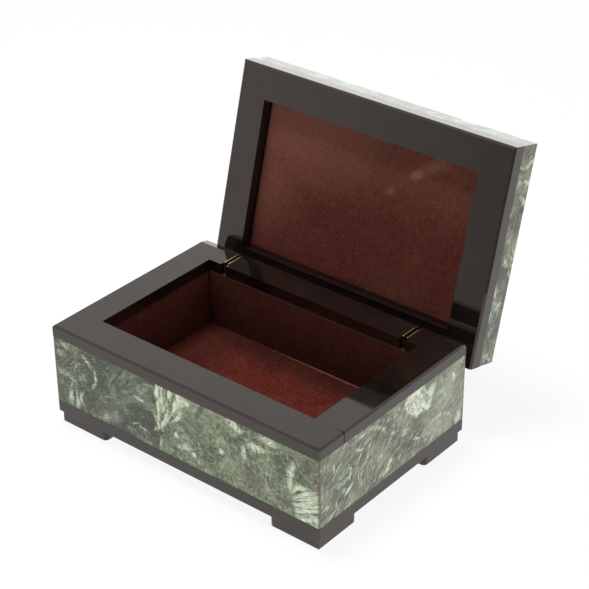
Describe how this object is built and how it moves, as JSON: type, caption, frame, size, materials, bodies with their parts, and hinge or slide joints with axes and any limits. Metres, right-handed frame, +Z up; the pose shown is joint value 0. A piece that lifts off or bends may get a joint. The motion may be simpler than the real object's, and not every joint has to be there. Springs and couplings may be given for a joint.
{
  "type": "hinged stone box",
  "caption": "Rectangular hinged keepsake box of green and black polished stone on low corner feet, lined with velvet, with a thick framed lid that opens back to a stop.",
  "frame": {"origin": "on the table, midway between the box's ends and midway between its front and the back of the open lid, at the height of the feet's undersides", "axes": "+X to the right along the front, +Y from the front to the hinges, +Z up"},
  "size_m": [0.15, 0.1487, 0.1322],
  "materials": {
    "green_stone": "polished, grey-green with silvery feathered plumes",
    "black_stone": "polished to a mirror, warm black",
    "brass": "filed flush and polished",
    "pasteboard": "plain grey board",
    "velvet": "short-pile burgundy velvet"
  },
  "bodies": {
    "box": {"base_plate": "black_stone", "foot_front_left": "black_stone", "foot_front_right": "black_stone", "foot_back_left": "black_stone", "foot_back_right": "black_stone", "wall_front": "green_stone", "wall_back": "green_stone", "wall_left": "green_stone", "wall_right": "green_stone", "rim_front_rail": "black_stone", "rim_left_rail": "black_stone", "rim_right_rail": "black_stone", "rim_back_left_block": "black_stone", "rim_back_centre_bar": "black_stone", "rim_back_right_block": "black_stone", "hinge_left_cheek_a": "brass", "hinge_left_cheek_b": "brass", "hinge_left_pin": "brass", "hinge_right_cheek_a": "brass", "hinge_right_cheek_b": "brass", "hinge_right_pin": "brass", "front_lining_board": "pasteboard", "back_lining_board": "pasteboard", "left_lining_board": "pasteboard", "right_lining_board": "pasteboard", "floor_lining_board": "pasteboard", "front_velvet": "velvet", "back_velvet": "velvet", "left_velvet": "velvet", "right_velvet": "velvet", "floor_velvet": "velvet"},
    "lid": {"lid_slab": "green_stone", "lid_front_rail": "black_stone", "lid_back_rail": "black_stone", "lid_left_rail": "black_stone", "lid_right_rail": "black_stone", "hinge_left_tongue": "brass", "hinge_right_tongue": "brass", "lid_lining_board": "pasteboard", "lid_velvet": "velvet"}
  },
  "joints": [
    {"name": "lid_hinge", "type": "hinge", "parent": "box", "child": "lid", "pos_m": [0, 0.02262, 0.0412], "axis": [1, 0, 0], "range_deg": [0, 104.9]}
  ]
}
